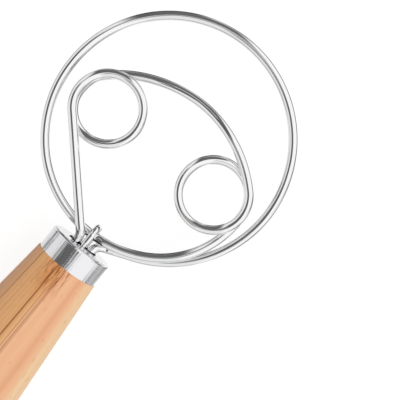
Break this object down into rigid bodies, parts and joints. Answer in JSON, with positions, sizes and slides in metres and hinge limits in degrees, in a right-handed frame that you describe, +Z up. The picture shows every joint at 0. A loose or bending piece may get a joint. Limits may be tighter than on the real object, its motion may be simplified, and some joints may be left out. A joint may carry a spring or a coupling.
{
  "type": "dough whisk",
  "caption": "Hand dough whisk: a bent steel wire head, with small eyes inside a large flat ring, set in a turned wooden handle with a steel ferrule and a hanging hole.",
  "frame": {"origin": "on the surface that the whisk lies on, under the middle of its length, with the handle's axis level", "axes": "+X along the handle towards the ring's far end, +Y to the left across the ring, +Z up, square to the ring"},
  "size_m": [0.3212, 0.09, 0.0356],
  "materials": {
    "handle_wood": "smooth turned beech, light oil",
    "ferrule_steel": "polished, with fine drawing lines along its axis",
    "wire_steel": "polished stainless wire",
    "resin": "cast, dull"
  },
  "bodies": {
    "root": {"handle": "handle_wood", "ferrule": "ferrule_steel", "head_wire": "wire_steel", "neck_staple": "wire_steel", "socket_resin": "resin"}
  },
  "joints": []
}
